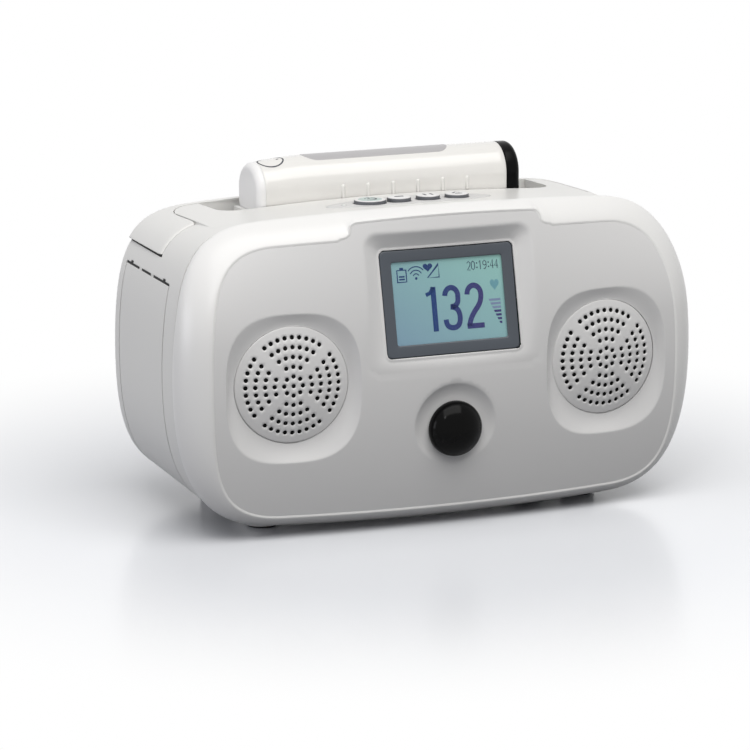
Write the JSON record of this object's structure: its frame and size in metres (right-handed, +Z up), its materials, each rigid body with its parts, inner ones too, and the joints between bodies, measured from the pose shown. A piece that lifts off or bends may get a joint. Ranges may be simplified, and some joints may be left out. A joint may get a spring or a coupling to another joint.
{
  "type": "fetal doppler",
  "caption": "Table-top fetal doppler with a tilted display, round loudspeakers, a volume knob, a pull-up carry handle and a hand-held wireless probe in its cradle.",
  "frame": {"origin": "on the table, under the middle of the unit's box", "axes": "+X to the unit's left-to-right seen from its front, -Y toward the user, +Z up"},
  "size_m": [0.2694, 0.1354, 0.1696],
  "materials": {
    "white": "satin gloss ABS",
    "cover": "fine satin ABS",
    "bezel": "satin",
    "lens": "clear gloss acrylic",
    "lcd": "display panel",
    "black": "high gloss",
    "pad": "satin",
    "power_key": "satin",
    "key": "satin",
    "light": "translucent",
    "board": "circuit board",
    "steel": "plain",
    "brass": "plated",
    "cone": "paper cone",
    "battery": "shrink sleeve",
    "rubber": "matt",
    "probe_face": "soft satin",
    "label": "foil"
  },
  "bodies": {
    "table_unit": {"front_cover": "cover", "left_speaker_grille": "cover", "right_speaker_grille": "cover", "left_speaker_frame": "steel", "left_speaker_cone": "cone", "left_speaker_magnet": "steel", "right_speaker_frame": "steel", "right_speaker_cone": "cone", "right_speaker_magnet": "steel", "display_bezel": "bezel", "display_lens": "lens", "lcd_module": "lcd", "volume_encoder": "steel", "rear_housing": "white", "door_hinge_pin": "steel", "key_pad": "pad", "status_light": "light", "key_board": "board", "main_board": "board", "battery_pack": "battery", "front_battery_contact": "brass", "rear_battery_contact": "brass", "power_socket": "black", "headphone_socket": "black", "data_socket": "steel", "left_charge_pin": "brass", "right_charge_pin": "brass", "case_screw_1": "steel", "case_screw_2": "steel", "case_screw_3": "steel", "case_screw_4": "steel", "rubber_foot_1": "rubber", "rubber_foot_2": "rubber", "rubber_foot_3": "rubber", "rubber_foot_4": "rubber"},
    "handle": {"carry_handle": "white"},
    "door": {"side_door": "white"},
    "knob": {"volume_knob": "black"},
    "power_key": {"power_key": "power_key"},
    "left_key": {"left_key": "key"},
    "middle_key": {"middle_key": "key"},
    "right_key": {"right_key": "key"},
    "probe": {"probe_upper_shell": "white", "probe_lower_shell": "white", "probe_face": "probe_face", "probe_end_cap": "black", "probe_label": "label", "probe_crystal": "brass", "probe_board": "board", "probe_battery": "battery"}
  },
  "joints": [
    {"name": "handle_slide", "type": "slide", "parent": "table_unit", "child": "handle", "axis": [0, 0, 1], "range_m": [0, 0.022]},
    {"name": "door_hinge", "type": "hinge", "parent": "table_unit", "child": "door", "pos_m": [-0.1156, -0.01545, 0.02], "axis": [0, -0.9982, -0.0593], "range_deg": [0, 75]},
    {"name": "knob_turn", "type": "hinge", "parent": "table_unit", "child": "knob", "pos_m": [0, -0.06015, 0.0487], "axis": [0, -1, 0], "range_deg": [-150, 150]},
    {"name": "power_key_press", "type": "slide", "parent": "table_unit", "child": "power_key", "axis": [0, -0.0993, -0.9951], "range_m": [0, 0.0012], "stiffness_N_per_m": 400, "springref_m": -0.001},
    {"name": "left_key_press", "type": "slide", "parent": "table_unit", "child": "left_key", "axis": [0, -0.0993, -0.9951], "range_m": [0, 0.0012], "stiffness_N_per_m": 400, "springref_m": -0.001},
    {"name": "middle_key_press", "type": "slide", "parent": "table_unit", "child": "middle_key", "axis": [0, -0.0993, -0.9951], "range_m": [0, 0.0012], "stiffness_N_per_m": 400, "springref_m": -0.001},
    {"name": "right_key_press", "type": "slide", "parent": "table_unit", "child": "right_key", "axis": [0, -0.0993, -0.9951], "range_m": [0, 0.0012], "stiffness_N_per_m": 400, "springref_m": -0.001},
    {"name": "probe_lift", "type": "slide", "parent": "table_unit", "child": "probe", "axis": [0, 0, 1], "range_m": [0, 0.06]}
  ]
}
